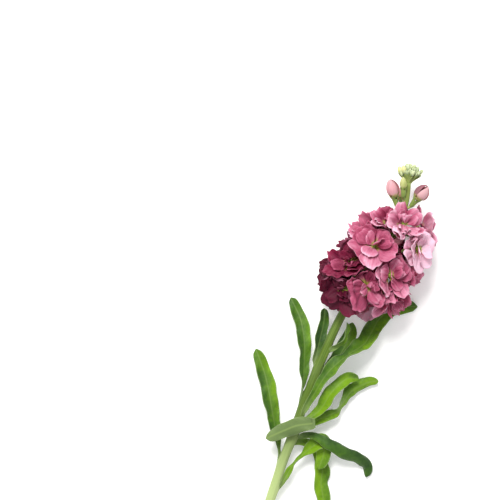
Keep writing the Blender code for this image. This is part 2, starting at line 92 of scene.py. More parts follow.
# Cells that the blooms keep to.
SHINGLE = 34.0
CELL_MARGIN = 0.45
CELL_SOFTNESS = (2.4, 1.0, 0.2, 0.2)
CELL_LIFT = 0.6
CELL_FLOOR = 0.34
LIFTED_FLOOR = 4.8
CLEAR_OF_STALK = 11.0
HEART_HEIGHT = 5.5
HEART_RADIUS = 2.4

# Layers of petals from a bloom's outside in. The solids have the first three, and the finer bloom
# has the others between them.
Layer = namedtuple("Layer", "petals length width claw opened curl cup root_height depth")
LAYERS = (
    Layer(5, 19.0, 17.5, 40, 12, -18, 0.08, 0.8, 0),
    Layer(3, 13.0, 12.5, 50, 26, -14, 0.12, 2.4, 1),
    Layer(2, 9.5, 9.0, 62, 46, -8, 0.18, 3.8, 2),
)
UNDER_ROW = Layer(4, 17.5, 17.0, 26, -16, -26, 0.04, 0.1, -0.2)
SECOND_ROW = Layer(4, 16.0, 14.0, 46, 20, -18, 0.1, 1.5, 0.5)
THIRD_ROW = Layer(3, 11.0, 9.0, 60, 40, -14, 0.16, 3.0, 1.4)
EYE_ROW = Layer(2, 6.5, 5.0, 76, 62, 16, 0.3, 4.4, 2.4)
FINER_ROWS = ((UNDER_ROW, 30), (SECOND_ROW, 50), (THIRD_ROW, 70), (EYE_ROW, 10))
CLOSED_ANGLE = 70
# Blooms that face down more than this have fewer petals in their second layer.
FLOOR_SIDE = -0.3
# Petals on a bloom's side towards the tip stand this much steeper, and those away from it flatter.
LOPSIDED = 11
SETTLED = 0.45
WIDEST = 0.62
ROOT_DEPTH = 1.3

# Buds.
Bud = namedtuple("Bud", "name station azimuth out tilt length radius opening")
BUDS = (
    Bud("bud_01", 351, -21, 12.0, 50, 9, 2.6, False),
    Bud("bud_02", 380, 68, 8.2, 62, 14, 3.9, True),
    Bud("bud_03", 381.5, -72, 6.4, 60, 13, 4.4, True),
    Bud("bud_04", 380, 160, 8.5, 55, 10, 3.2, False),
    Bud("green_bud", 387.5, 32, 6.0, 76, 9, 2.4, False),
)
BUD_PROFILE = ((0.0, 0.5), (0.2, 0.9), (0.45, 1.0), (0.7, 0.8), (0.9, 0.45), (1.0, 0.05))
CROWN_BUD_PROFILE = ((0, 0), (0.06, 0.55), (0.25, 0.95), (0.6, 1.0), (0.85, 0.6), (1, 0))
# Opening buds: how far round their petals stand, in degrees, and how deep the pink of each is.
OPENING_LOOKS = {"bud_02": (50, (0.1, 0.2, 0.05, 0.3)), "bud_03": (-62, (1.5, -0.2, -0.4, 1.2))}
INNER_BUDS, OUTER_BUDS, FILLING_BUDS = 11, 6, 76
SEED_OF_CROWN = 5
SEED_OF_FILLING = 61

# Leaves, from the cut end up: where each grows, its midrib, how it rolls over along the way, how
# strongly its sides furl, how bright its green is, where the furl starts and where it widens.
Leaf = namedtuple(
    "Leaf", "station azimuth half_width midrib rolls furl tone furl_from widens",
    defaults=(0.1, (0.06, 0.6)),
)
LEAVES = (
    Leaf(168, -80, 6.0,
        ((188, -8, 10.5), (200, -14, 11.5), (206, -19, 11.5), (200, -23, 9.5), (187, -24, 8.5)),
        ((0.35, -45), (0.6, -30), (0.8, 10), (1, 0)), 0.3, 0.9, widens=(0.45, 0.72)),
    Leaf(186, 112, 5.5, ((200, 13, 8), (216, 23, 8), (233, 34, 5), (248, 47, 2.5)),
        ((0.4, 20), (1, -10)), 0.4, 0.2),
    Leaf(197, -145, 5.4,
        ((201, -12, 5.5), (196, -22, 4), (188, -27, 2.6), (178.6, -29.5, 2), (171, -34, 1.8),
         (160, -40, 1.5)),
        ((0.3, -15), (0.5, 25), (0.7, -10), (1, 10)), 0.3, 0.75),
    Leaf(203, -80, 4.4,
        ((208, -12, 16), (207, -25, 17), (204.4, -38, 14), (203.6, -47, 9), (201, -54, 5),
         (194, -57, 2.5)),
        ((0.35, -25), (0.75, 15), (1, 30)), 1.6, 0.65),
    Leaf(206, -100, 4.5,
        ((219, -11, 10), (229, -20, 11), (236, -22, 10), (246, -25, 8), (256, -34, 6), (259, -40, 4)),
        ((0.4, 10), (0.55, 55), (0.8, 15), (1, 5)), 1.4, 0.75, 0.42),
    Leaf(213, -25, 5.5, ((216, -7, 24), (211, 2, 25), (203, 10, 22), (194, 18, 16)),
        ((0.4, 0), (1, 15)), 0.9, -2.0),
    Leaf(212, -65, 4.8, ((226, -9, 17), (241, -12, 19), (253, -18, 17), (256, -26, 13)),
        ((0.4, -30), (0.7, -15), (1, 20)), 0.5, 0.7),
    Leaf(222, -22, 6.3,
        ((236, -1, 22), (252, -4, 25), (268, -12, 24), (279, -20, 17), (289, -22.5, 8.5),
         (299, -24.5, 3), (310, -31, 2), (317, -46, 1.8)),
        ((0.3, -25), (0.5, -60), (0.62, -25), (0.8, 0), (1, 5)), 0.3, 0.1),
    Leaf(232, 95, 5.0, ((246, 11, 15), (262, 17, 14), (278, 26, 9), (290, 38, 4)),
        ((0.4, 25), (0.7, 10), (1, -10)), 0.4, -0.2),
    Leaf(250, -95, 5.5, ((262, -7, 13), (274, -9, 10.5), (283, -9, 8), (290, -8, 6)),
        ((0.4, -25), (0.7, -5), (1, 10)), 0.4, -0.1),
    Leaf(256, 80, 4.0, ((268, 9, 19), (282, 11, 17), (292, 14, 13)), ((0.4, 25), (1, 10)), 0.4, -0.7),
    Leaf(267, -45, 2.6, ((275, -5, 27), (283, -5, 30), (289, -3, 31)), ((0.5, 40), (1, 70)), 0.3, 0.3),
)
SEED_OF_LEAVES = 40
LEAF_SOLID = 0.6
LEAF_GAP = 0.35
WAVE_LENGTH = 26

# Light and air, and the photo's frame: straight down on the stem, whose stalk climbs to the right.
AIR = 0.8
LAMP_PLACE = Vector((0.62, 0.4, 1.05))
LAMP_SIZE = 0.5
LAMP_POWER = 18.0
LAMP_COLOUR = (1.0, 0.985, 0.96)
HEAD_PLACE = Vector((0.14, 0.0, 0.03))
CLIMB = radians(22)
FRAME_MIDDLE = (0.1071, 0.0821)
FRAME_SIDE = 0.34
FRAME_HEIGHT = 0.027
LENS = 135
SENSOR = 36


def smoothstep(t):
    t = np.clip(t, 0, 1)
    return t * t * (3 - 2 * t)


def unit(vector):
    return vector / np.linalg.norm(vector, axis=-1, keepdims=True)


def dot(a, b):
    return (a * b).sum(-1)


def rows(*parts):
    """Vectors, one to a row, from their parts."""
    return np.stack(np.broadcast_arrays(*parts), -1)


def rise(v, start, over):
    """0 up to start, and smoothly up to 1 over the stretch after it."""
    return smoothstep((v - start) / over)


def ring(angle, up, left):
    """Directions round a line, by their angle from up towards the left."""
    return up * np.cos(angle)[:, None] + left * np.sin(angle)[:, None]


def taper(v, start, by):
    """1 up to start, and rounded off from there to the end."""
    return np.sqrt(1 - by * np.maximum(0, (v - start) / (1 - start)) ** 2)


def closed(girth, v):
    """Girths of a round form whose ends come to a point."""
    return np.where((v == 0) | (v == 1), 0, girth)


def through(knots, at):
    """Values at places on the smooth curve through (place, value) knots, one row to a place."""
    places = np.array([place for place, _ in knots], float)
    values = np.array([value for _, value in knots], float).reshape(len(knots), -1)
    order = np.arange(len(knots))
    before, after = np.maximum(order - 1, 0), np.minimum(order + 1, len(knots) - 1)
    slopes = (values[after] - values[before]) / (places[after] - places[before])[:, None]
    at = np.asarray(at, float)
    span = np.clip(np.searchsorted(places, at, side="right") - 1, 0, len(knots) - 2)
    width = places[span + 1] - places[span]
    t = np.clip((at - places[span]) / width, 0, 1)[..., None]
    width = width[..., None]
    return (
        values[span] * (2 * t**3 - 3 * t**2 + 1)
        + slopes[span] * width * (t**3 - 2 * t**2 + t)
        + values[span + 1] * (3 * t**2 - 2 * t**3)
        + slopes[span + 1] * width * (t**3 - t**2)
    )


def measured(points):
    """How far along a line each of its points is, and its knots by their share of the way."""
    way = np.concatenate(([0], np.cumsum(np.linalg.norm(np.diff(points, axis=0), axis=1))))
    return way, list(zip(way / way[-1], map(tuple, points)))


def heading(line, at, step):
    """The way that a smooth line runs at places on it."""
    return unit(through(line, np.minimum(at + step, 1)) - through(line, np.maximum(at - step, 0)))


STATIONS = np.arange(-30, 410.01, 0.5)
STALK_TABLE = through(STALK_LINE, STATIONS)
RADIUS_TABLE = through(STALK_RADIUS, STATIONS)[:, 0]


def stalk_point(station):
    return rows(station, *(np.interp(station, STATIONS, column) for column in STALK_TABLE.T))


def stalk_radius(station):
    return np.interp(station, STATIONS, RADIUS_TABLE)


def stalk_frame(station):
    """Directions along the stalk, to its left and up from it."""
    along = unit(stalk_point(station + 2) - stalk_point(station - 2))
    left = unit(np.cross(Z, along))
    return along, left, np.cross(along, left)


def outward(station, azimuth):
    """The way out of the stalk at an azimuth, in degrees from the top towards the left."""
    _, left, up = stalk_frame(station)
    return up * cos(radians(azimuth)) + left * sin(radians(azimuth))


def added(name, data):
    """A new object in the scene."""
    made = bpy.data.objects.new(name, data)
    bpy.context.scene.collection.objects.link(made)
    return made


class Sculpt:
    """One piece while it is modelled. Its blades are open grids until it is made."""

    def __init__(self):
        self.work = bmesh.new()
        self.work.loops.layers.uv.new("UVMap")
        vectors, numbers = self.work.verts.layers.float_vector, self.work.verts.layers.float
        for layers, names in ((vectors, ("grain", "up")), (numbers, ("tint", "side", "wall"))):
            for name in names:
                layers.new(name)
        self.grain, self.up = vectors["grain"], vectors["up"]
        self.tint, self.side, self.wall = numbers["tint"], numbers["side"], numbers["wall"]
        self.blades = []

    def grid(self, across, along, slot):
        """A flat grid of faces, with its points and their u from -1 to 1 and v from 0 to 1."""
        known = len(self.work.faces)
        verts = bmesh.ops.create_grid(
            self.work, x_segments=across, y_segments=along, size=1, calc_uvs=True,
        )["verts"]
        flat = np.array([vert.co.to_tuple() for vert in verts])
        self.work.faces.ensure_lookup_table()
        faces = self.work.faces[known:]
        for face in faces:
            face.material_index = slot
        return verts, flat[:, 0], (flat[:, 1] + 1) / 2, faces

    def lay(self, verts, points, grain, tint, wall):
        """Puts points in place. Grain is where each is in its finish's pattern."""
        tint = np.broadcast_to(tint, len(verts))
        wall = np.broadcast_to(wall, len(verts))
        for vert, point, place, shade, thickness in zip(
            verts, ((points - MIDDLE) * MM).tolist(), grain.tolist(), tint.tolist(), wall.tolist(),
        ):
            vert.co = point
            vert[self.grain] = place
            vert[self.tint] = shade
            vert[self.wall] = thickness * MM

    def blade(self, across, along, place, tint, wall, slot=0):
        """A thin blade. place(u, v) gives its points and their grain."""
        verts, u, v, faces = self.grid(across, along, slot)
        points, grain = place(u, v)
        self.lay(verts, points, grain, tint(u, v, points) if callable(tint) else tint, wall(u, v))
        self.blades += faces

    def skin(self, around, along, place, tint, slot=0):
        """A closed round form. place(angle, v) gives its points and their grain."""
        verts, u, v, faces = self.grid(around, along, slot)
        points, grain = place(u * pi, v)
        self.lay(verts, points, grain, tint, 0)
        bmesh.ops.remove_doubles(self.work, verts=verts, dist=WELD)
        bmesh.ops.recalc_face_normals(self.work, faces=[face for face in faces if face.is_valid])

    def thicken(self):
        """Gives each blade its underside and rim, half its wall to either side."""
        self.work.normal_update()
        blades, self.blades = self.blades, []
        upper = {vert for face in blades for vert in face.verts}
        for vert in upper:
            vert[self.up] = vert.normal
        points, faces = len(self.work.verts), len(self.work.faces)
        bmesh.ops.solidify(self.work, geom=blades, thickness=0)
        self.work.verts.ensure_lookup_table()
        self.work.faces.ensure_lookup_table()
        for vert in upper:
            vert.co += vert[self.up] * (vert[self.wall] / 2)
        for vert in self.work.verts[points:]:
            vert.co -= vert[self.up] * (vert[self.wall] / 2)
            vert[self.side] = 1
        return set(self.work.faces[faces + len(blades):])

    def make(self, name, finishes, node):
        """The finished piece, which rides on the stem's body in place of its solid."""
        rims = self.thicken() if self.blades else set()
        for face in self.work.faces:
            face.smooth = face not in rims
        mesh = bpy.data.meshes.new(name)
        self.work.to_mesh(mesh)
        self.work.free()
        for used in ("up", "wall"):
            mesh.attributes.remove(mesh.attributes[used])
        for finish in finishes:
            mesh.materials.append(finish)
        made = added(name, mesh)
        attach(made, BODY)
        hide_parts(node)


def tube(body, points, radii, around, rings, tint):
    """A round stalk through points."""
    way, line = measured(points)
    cap = 1.5 / rings

    def place(angle, v):
        inner = np.clip((v - cap) / (1 - 2 * cap), 0, 1)
        along = heading(line, inner, 0.01)
        left = unit(np.cross(Z + 0.001, along))
        girth = np.interp(inner, way / way[-1], radii)
        closing = np.sqrt(np.clip(np.minimum(v, 1 - v) / cap, 0, 1))
        across = ring(angle, np.cross(along, left), left)
        grain = rows(girth * np.cos(angle), girth * np.sin(angle), inner * way[-1])
        return through(line, inner) + across * (girth * closing)[:, None], grain

    body.skin(around, rings, place, tint, slot=1)


class Flower:
    """Where one bloom or bud sits, the way that it faces, and how far its petals reach."""

    def __init__(self, station, azimuth, out, tilt, reach):
        self.station, self.azimuth, self.reach = station, azimuth, reach
        along, _, _ = stalk_frame(station)
        radial = outward(station, azimuth)
        self.facing = unit(radial * cos(radians(tilt)) + along * sin(radians(tilt)))
        self.throat = stalk_point(station) + radial * out
        self.centre = self.throat + self.facing * HEART_HEIGHT
        across = unit(np.cross(along, self.facing))
        self.axes = np.stack((np.cross(self.facing, across), across, self.facing))
        self.clear_of_stalk = min(CLEAR_OF_STALK, out - 2)
        self.floor = CELL_FLOOR
        self.walls = []

    def place(self, out, across, up):
        """Points given in the flower's own directions, from its throat."""
        return self.throat + rows(out, across, up) @ self.axes

    def around(self, girth, angle, up):
        """Points round the flower's own axis."""
        return self.place(girth * np.cos(angle), girth * np.sin(angle), up)

    def wall_from(self, other, turned):
        """The plane between two flowers, and which way its waves count on this side."""
        gap = other.centre - self.centre
        length = np.linalg.norm(gap)
        share = 0.5 + (self.reach - other.reach) / (2 * length)
        lean = radians(SHINGLE) * gap[0] / length
        toward = unit(gap / length * cos(lean) + unit(self.facing + other.facing) * sin(lean))
        return self.centre + gap * min(max(share, 0.25), 0.75), toward, turned

    def keep_in(self, points):
        """Bends petals back from the cell's walls, the surface below and the stalk."""
        for softness in CELL_SOFTNESS:
            lift = CELL_LIFT if softness == CELL_SOFTNESS[0] else 0
            for wall, toward, turned in self.walls:
                past = (points - wall) @ toward + CELL_MARGIN + turned * wander(points)
                eased = past + softness * np.exp(-(past + softness) / softness)
                back = np.where(past > -softness, eased, 0)
                aside = self.facing - toward * (self.facing @ toward)
                points = points + back[:, None] * (aside * lift - toward)
            low, z = self.floor + softness, points[:, 2]
            height = self.floor + softness * np.exp(np.minimum(z - low, 0) / softness)
            points[:, 2] = np.where(z < low, height, z)
            middle = stalk_point(points[:, 0])
            off = points - middle
            near = np.hypot(off[:, 1], off[:, 2])
            push = np.where(near < self.clear_of_stalk, self.clear_of_stalk / np.maximum(near, 0.1), 1)
            points = middle + off * push[:, None]
        return points


def wander(points):
    """How far the walls between blooms wave, so that no two blooms meet along a flat plane."""
    x, y, z = points.T
    slow = np.sin(0.42 * x + 0.9 * np.sin(0.21 * z)) * np.cos(0.47 * y + 0.31 * z)
    return 1.1 * slow + 0.5 * np.sin(0.83 * z + 0.71 * y - 0.5 * x)


def spiral():
    """The blooms, lowest first. Those that face the surface are pressed in towards the stalk."""
    draw = Random(SEED_OF_SPIRAL)
    flowers = []
    for index in range(BLOOMS):
        azimuth = (FIRST_AZIMUTH + GOLDEN_ANGLE * index + 180) % 360 - 180
        young = smoothstep((index - FULL_BLOOMS + 3) / (BLOOMS - FULL_BLOOMS + 2))
        young = OPENED_EARLY.get(index, young)
        further, turned, outer = NUDGES.get(index, (0, 0, 0))
        down = max(0, -cos(radians(azimuth)))
        out = FULL_OUT - 7.0 * down - 5.0 * young + draw.uniform(-1.5, 2.0)
        out = out - 2.5 * sin(radians(azimuth)) + outer
        tilt = -4 + 34 * smoothstep(index / 10) + 18 * young
        station = FIRST_STATION + STATION_STEP * index + 14 * (1 - smoothstep(index / 6)) + further
        flowers.append(Flower(station, azimuth + turned, out, tilt, FULL_REACH - 6.0 * young))
    for index in LIFTED_BLOOMS:
        flowers[index].floor = LIFTED_FLOOR
    return flowers


Petal = namedtuple(
    "Petal",
    "layer turn length width lean curl wave cup twist ruffle ripples phase pleats crease notch sway",
)


def stance(layer, openness):
    """How steep a layer's petals stand."""
    return layer.opened + (CLOSED_ANGLE - layer.opened) * (1 - openness)


def solid_petals(layers, size, openness, index):
    """The petals that the solids have too, by the same draws, and the turn they start from."""
    draw, extra = Random(SEED_OF_BLOOMS + index), Random(SEED_OF_RUFFLES + index)
    start = draw.uniform(0, 360)
    petals = []
    for depth, layer in enumerate(layers):
        for place in range(layer.petals):
            turn = radians(start + 36 * depth + 360 / layer.petals * place + draw.uniform(-7, 7))
            petals.append(ruffled(
                layer, turn + radians(extra.uniform(-6, 6)),
                layer.length * size * draw.uniform(0.92, 1.08),
                layer.width * size * draw.uniform(0.94, 1.06),
                stance(layer, openness) + draw.uniform(-6, 6) + extra.uniform(-8, 8),
                layer.curl + draw.uniform(-12, 12) + extra.uniform(-8, 8),
                draw.uniform(0.3, 0.9) * (1 if draw.random() < 0.5 else -1), extra,
            ))
    return start, petals


def ruffled(layer, turn, length, width, lean, curl, wave, draw):
    """A petal with its own small folds: those further in are more crinkled."""
    inward = layer.depth / 2.4
    return Petal(
        layer, turn, length, width, lean, curl, wave,
        cup=layer.cup + draw.uniform(-0.26, 0.02) * (1 - 0.6 * inward), twist=draw.uniform(-0.2, 0.2),
        ruffle=draw.uniform(0.35, 1.0) * (1 + 0.7 * inward), ripples=draw.uniform(0.9, 2.1),
        phase=draw.uniform(0, 2 * pi), pleats=draw.uniform(0.12, 0.3), crease=draw.uniform(0.2, 1.1),
        notch=max(0, draw.uniform(-0.8, 0.9)), sway=draw.uniform(-2.0, 2.0) * (0.4 + inward),
    )


def further_petals(layer, count, start, size, openness, draw):
    """Petals that only the finer bloom has."""
    return [
        ruffled(
            layer, radians(start + 360 / count * index + draw.uniform(-14, 14)),
            layer.length * size * draw.uniform(0.86, 1.08),
            layer.width * size * draw.uniform(0.85, 1.1),
            stance(layer, openness) + draw.uniform(-12, 12), layer.curl + draw.uniform(-18, 18),
            draw.uniform(0.3, 1.1) * draw.choice((-1, 1)), draw,
        ) for index in range(count)
    ]


def lay_petal(body, flower, petal, tint, warmth):
    """One petal: a narrow claw, a broad round limb with a soft waved rim, and small folds."""
    layer = petal.layer
    root = HEART_RADIUS * (0.95 - 0.28 * layer.depth) - ROOT_DEPTH
    lean = petal.lean + LOPSIDED * cos(petal.turn)

    def angle_at(v):
        opening = (lean - layer.claw) * smoothstep(v / SETTLED)
        return np.radians(layer.claw + opening + petal.curl * v * v)

    steps = np.linspace(0, 1, 65)
    middles = angle_at((steps[1:] + steps[:-1]) / 2)
    line_out, line_up = (
        np.concatenate(([0], np.cumsum(part))) * petal.length / 64
        for part in (np.cos(middles), np.sin(middles))
    )

    def place(u, v):
        limb = 0.1 + 0.9 * rise(v, 0.05, 0.52)
        half = petal.width / 2 * limb * taper(v, WIDEST, 0.56)
        frill = rise(v, 0.35, 0.65)
        wave = petal.ruffle * frill * np.sin(petal.ripples * pi * u + petal.phase)
        wave = wave * (0.35 + 0.65 * np.abs(u))
        fan = rise(v, 0.08, 0.3) * (1 - 0.8 * rise(v, 0.6, 0.4))
        pleats = petal.pleats * fan * np.sin(11 * u + petal.phase + 1.2 * np.sin(4 * v))
        fine = 0.12 * frill * np.sin(7.3 * u + 9.1 * v + 2 * petal.phase)
        fold = petal.crease * np.exp(-((u / 0.22) ** 2)) * np.sin(pi * v)
        lift = (
            (petal.cup * half + petal.wave * v * v) * u * u + petal.twist * half * u * v
            + smoothstep(v / 0.5) * u + wave + pleats + fine - fold
        )
        notch = petal.notch * np.exp(-((u / 0.2) ** 2)) * v**6
        scallop = 0.36 * np.sin(4.3 * u + 3 * petal.phase) + 0.2 * np.sin(9.7 * u - petal.phase)
        pull = petal.length * (0.08 * np.abs(u) ** 2.8 * v**3) + notch + scallop * v**6 * (1 - u**6)
        level, steep = np.cos(angle_at(v)), np.sin(angle_at(v))
        radial = root + np.interp(v, steps, line_out) - lift * steep - pull * level
        height = layer.root_height + np.interp(v, steps, line_up) + lift * level - pull * steep
        across = half * u + petal.sway * v * v
        free = flower.place(
            radial * cos(petal.turn) - across * sin(petal.turn),
            radial * sin(petal.turn) + across * cos(petal.turn), height,
        )
        points = free + (flower.keep_in(free.copy()) - free) * smoothstep(v / 0.3)[:, None]
        return points, rows(u, v, petal.phase + 10 * warmth)

    def wall(u, v):
        return 0.26 - 0.14 * np.maximum(np.abs(u) ** 6, v**8)

    # Painted shade: petals grow darker the nearer they lie to the stalk, deep inside the head.
    def painted_shade_near_stalk(u, v, points):
        away = np.linalg.norm(points - stalk_point(points[:, 0]), axis=1)
        return tint + 0.6 * (1 - rise(away, 10, 11))

    across, along = (18, 16) if layer.depth < 1 else (14, 12)
    body.blade(across, along, place, painted_shade_near_stalk, wall)


# How each bloom differs, lowest first: how deep its pink is from 0, pale, to 1, dark mauve, and past
# that, which holds each bloom's own pink and painted light and shade as well: the darkest, such as the
# 1st, 4th, 7th and 12th, are painted shade from neighbouring blooms and stems, and the palest, the 5th
# and 21st, painted light; how many small petals stand in its middle, from 0, an open eye, to 1, full;
# how crumpled it is.
BLOOM_LOOKS = (
    (1.75, 0.5, 0.6), (1.1, 0.6, 0.3), (0.6, 0.4, 1.0), (1.8, 0.5, 0.5), (0.0, 0.6, 0.3),
    (0.64, 0.3, 0.8), (1.5, 0.6, 0.3), (0.55, 0.6, 0.6), (1.05, 0.3, 0.4), (0.7, 0.6, 0.3),
    (0.52, 0.2, 0.25), (1.6, 0.6, 0.5), (0.6, 0.5, 0.1), (0.56, 0.1, 0.05), (0.7, 0.6, 0.3),
    (0.56, 0.3, 0.2), (0.6, 0.4, 0.5), (0.1, 0.6, 0.4), (0.34, 0.5, 0.9), (0.5, 0.6, 0.4),
    (-0.1, 0.1, 0.05), (0.42, 0.4, 0.9),
)
# Near-black mauve for petals past a depth of 1: painted shade on the shaded blooms and near the stalk,
# and the deep crimson of a bud's petal.
DEEP_PINK_AND_PAINTED_SHADE = (0.045, 0.002, 0.012)
# Blooms whose petals have stayed shorter, and single petals of a bloom, counted from 0, that have.
SHORTENED = {14: 0.96, 21: 0.86, (3, 1): 0.7, (4, 3): 0.8, (16, 3): 0.76, (18, 10): 0.8}


def bloom(index, flower, finishes):
    """A double bloom: its outer petals, those that stand between them, and a small green heart."""
    number = index + 1
    depth, fullness, crumple = BLOOM_LOOKS[index]
    young = OPENED_EARLY.get(index, smoothstep((index - FULL_BLOOMS + 1) / (BLOOMS - FULL_BLOOMS)))
    size, openness = 1 - 0.25 * young, 1 - 0.5 * young
    layers = LAYERS if flower.facing[2] > -0.2 and young == 0 else LAYERS[:2]
    if flower.facing[2] < FLOOR_SIDE:
        layers = (LAYERS[0], LAYERS[1]._replace(petals=2, width=11.0))
    start, petals = solid_petals(layers, size, openness, index)
    draw = Random(SEED_OF_RUFFLES + 50 + index)
    for layer, turned in FINER_ROWS:
        count = layer.petals if layer is UNDER_ROW else round(layer.petals * fullness)
        petals += further_petals(layer, count, start + turned, size, openness, draw)
    body = Sculpt()
    for place, petal in enumerate(petals):
        trim = SHORTENED.get(number, 1) * SHORTENED.get((number, place), 1)
        petal = petal._replace(
            ruffle=petal.ruffle * (1 + 1.1 * crumple),
            crease=petal.crease + 2.0 * crumple * draw.uniform(0.2, 1),
            length=petal.length * trim, width=petal.width * (1 - 0.14 * crumple),
            twist=petal.twist * (1 + 1.5 * crumple),
            cup=petal.cup - 0.3 * crumple * draw.uniform(0, 1), curl=petal.curl - 12 * crumple,
        )
        # Painted shade: petals on a bloom's side towards the tip are darker, and those of the row
        # beneath the others are darker too, on top of the bloom's depth and a random spread.
        shade = depth + draw.uniform(-0.16, 0.16) + 0.12 * cos(petal.turn)
        shade = shade + (0.22 if petal.layer.depth < 0 else 0)
        lay_petal(body, flower, petal, shade, draw.random())

    def heart(angle, v):
        girth = 1.7 * np.sin(pi * np.minimum(v * 0.93 + 0.07, 1)) ** 0.7
        girth = closed(girth * (1 + 0.14 * np.cos(4 * angle)), v)
        points = flower.around(girth, angle, -0.5 + 6.0 * v)
        return points, rows(np.cos(angle), np.sin(angle), v)

    body.skin(16, 10, heart, 0.0, slot=1)
    body.make(f"bloom_{number:02}_petals", finishes, f"bloom_{number:02}")


def furled_bud(form, flower, finishes, slot):
    """A closed bud: a pointed form whose furled petals twist round it, each edge over the next."""
    body = Sculpt()

    def place(angle, v):
        step = (3 * angle / (2 * pi) + 0.9 * v) % 1.0
        edge = 0.16 * (step - 0.5) * smoothstep(v / 0.3)
        girth = form.radius * through(BUD_PROFILE, v)[:, 0] * (1 + edge)
        points = flower.around(closed(girth, v), angle, form.length * (0.02 + 0.98 * v))
        return points, rows(step * 2 - 1, v, form.station)

    body.skin(42, 26, place, 0.1 if slot == "bud_green" else 0.3)
    body.make(f"{form.name}_furled_petals", finishes, form.name)


def opening_bud(form, flower, finishes, turned, tints):
    """A bud about to open: petals rolled round each other over a pointed core."""
    body = Sculpt()

    def core(angle, v):
        girth = form.radius * np.interp(v, (0, 0.04, 0.35, 0.8, 1), (0, 0.5, 0.72, 0.35, 0))
        points = flower.around(girth, angle, form.length * (0.03 + 0.78 * v))
        return points, rows(np.cos(angle), v, 3.0)

    body.skin(12, 10, core, tints[0])
    for index in range(5):
        outer = index < 3
        turn = radians(turned + (120 * index + 40 if outer else 180 * index + 75))
        reach, tall = (1.0, 1.0) if outer else (0.72, 1.02)

        def place(u, v):
            bulge = np.sin(pi * np.minimum(v * 1.03, 1)) ** 0.55
            swell = form.radius * (0.26 + 0.85 * bulge - 0.1 * v)
            around = turn + u * 1.15 * (1 - 0.3 * v) * np.minimum(1, v * 4) * taper(v, 0.6, 0.75)
            roll = 0.35 * rise(v, 0.75, 0.25) * (1 - u * u)
            off = (swell + 0.6 * u * np.minimum(1, v * 3)) * reach + roll
            up = form.length * (0.08 + 0.92 * v * tall) - 0.3 * np.abs(u) ** 2 * v**4
            return flower.around(off, around, up), rows(u, v, 2.0 * index)

        body.blade(12, 14, place, tints[index % len(tints)], lambda u, v: 0.34 - 0.16 * np.abs(u) ** 6)
    body.make(f"{form.name}_rolled_petals", finishes, form.name)


def sepals(body, flower, calyx, beyond, radius, waist, tint, draw):
    """The four sepals of a calyx, each a narrow blade that hugs the throat."""
    start = draw.uniform(0, pi / 2)
    girths = (0.9, 0.78 * waist, waist, 0.25 * radius + 0.75 * waist, radius)
    for quarter in range(4):
        turn = start + quarter * pi / 2 + draw.uniform(-0.12, 0.12)
        reach = calyx + beyond * draw.uniform(0.85, 1.15)
        flare = draw.uniform(0, 0.3)

        def place(u, v):
            swell = np.interp(v, (0, 0.12, 0.4, 0.7, 1), girths) + 0.16 * (quarter % 2)
            swell = swell + flare * rise(v, 0.8, 0.2) + 0.12 * u * u
            width = 0.8 * (1 - 0.4 * v) * taper(v, 0.5, 0.96)
            return flower.around(swell, turn + u * width, -calyx + reach * v), rows(u, v, turn)

        shade = tint + draw.uniform(-0.15, 0.15)
        body.blade(8, 18, place, shade, lambda u, v: 0.4 - 0.15 * np.abs(u) ** 4, slot=1)


def stalk_skin(body):
    """The main stalk: soft ridges, a swelling under each leaf, and a clean cut across its end."""
    rings, ends = 190, 5

    def place(angle, v):
        step = np.round(v * rings).astype(int)
        station = STALK_END * np.clip((step - ends) / (rings - 2 * ends), 0, 1)
        _, left, up = stalk_frame(station)
        ridge = 0.028 * np.cos(5 * angle + 0.012 * station)
        ridge = (ridge + 0.016 * np.cos(9 * angle - 0.02 * station)) * smoothstep(station / 40)
        for form in LEAVES:
            turned = (angle - radians(form.azimuth) + pi) % (2 * pi) - pi
            above = station - form.station
            swollen = np.exp(-((above / np.where(above > 0, 2.5, 9.0)) ** 2))
            ridge = ridge + 0.25 * (swollen * np.exp(-((turned / 0.42) ** 2)))
        closing = np.clip(np.minimum(step, rings - step) / ends, 0, 1)
        girth = stalk_radius(station) * (1 + ridge) * closing
        points = stalk_point(station) + ring(angle, up, left) * girth[:, None]
        points[:, 2] = np.maximum(points[:, 2], 0.02)
        return points, rows(3 * np.cos(angle), 3 * np.sin(angle), station)

    body.skin(30, rings, place, 0.0)


def stem(blooms, buds, finishes):
    """The stalk with its flower stalks and calyces, all grown as one body."""
    body = Sculpt()
    stalk_skin(body)
    draw = Random(SEED_OF_STALKS)
    for flower, form in [(flower, None) for flower in blooms] + list(zip(buds, BUDS)):
        calyx, drop, girth = (5.0, 9.0, 0.75) if form else (9.0, 12.0, 1.0)
        root = flower.station - drop
        along, _, _ = stalk_frame(flower.station)
        sunk = stalk_point(root) + outward(root, flower.azimuth) * (stalk_radius(root) - 1.6)
        foot = flower.throat - flower.facing * calyx
        elbow = sunk + (foot - sunk) * 0.55 + along * 0.8
        swollen = foot + flower.facing * calyx * 0.22
        mouth = flower.throat - flower.facing * 2
        line = (sunk, elbow, foot, swollen, mouth, flower.throat)
        radii = (1.25, 0.85, 0.95, 2.0 * girth, 2.0 * girth, 1.7 * girth)
        tube(body, line, radii, 12, 26, draw.uniform(0.1, 0.5))
        if form:
            sepals(body, flower, calyx, form.length * 0.18, form.radius * 0.7 + 0.2, 1.55, 0.75, draw)
        else:
            sepals(body, flower, calyx, 0.6, 2.35, 2.2, 0.5, draw)
    body.make("stem_and_calyces", finishes, "stem")


